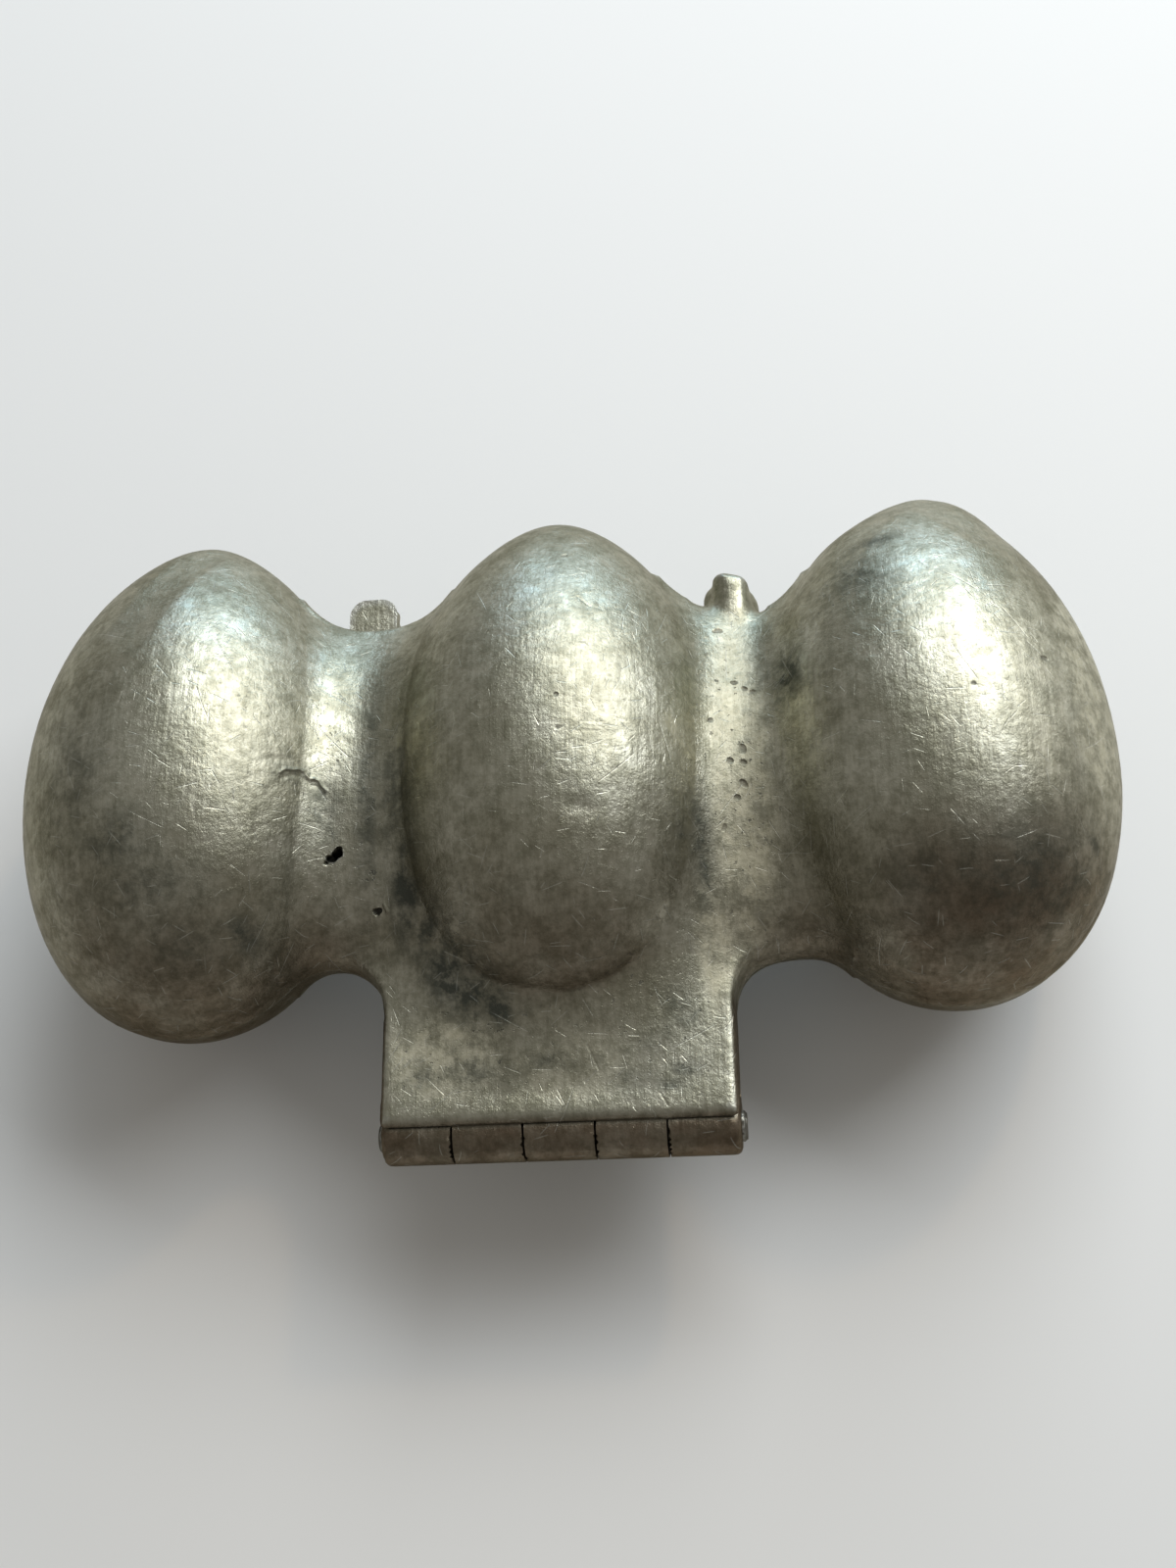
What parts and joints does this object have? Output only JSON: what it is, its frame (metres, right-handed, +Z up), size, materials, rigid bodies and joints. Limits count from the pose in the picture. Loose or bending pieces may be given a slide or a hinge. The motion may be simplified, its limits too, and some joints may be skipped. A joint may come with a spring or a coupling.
{
  "type": "ice cream mold",
  "caption": "Hinged two-part cast pewter mold that shapes a row of ice cream eggs, with a knuckle hinge and finger lugs.",
  "frame": {"origin": "centre of the footprint of the closed mold lying on its back, on the surface that it lies on", "axes": "+X along the row of eggs; +Y from the hinge to the eggs' tips and the finger lugs; +Z up, through the back half and then the front half"},
  "size_m": [0.1286, 0.0786, 0.041],
  "materials": {
    "pewter_front": "aged cast pewter, worn and stained",
    "pewter_back": "aged cast pewter, worn and stained",
    "pin_steel": "dull drawn steel"
  },
  "bodies": {
    "back": {"back_half": "pewter_back", "hinge_pin": "pin_steel"},
    "front": {"front_half": "pewter_front"}
  },
  "joints": [
    {"name": "hinge", "type": "hinge", "parent": "back", "child": "front", "pos_m": [0, -0.03625, 0.0205], "axis": [1, 0, 0], "range_deg": [0, 180]}
  ]
}
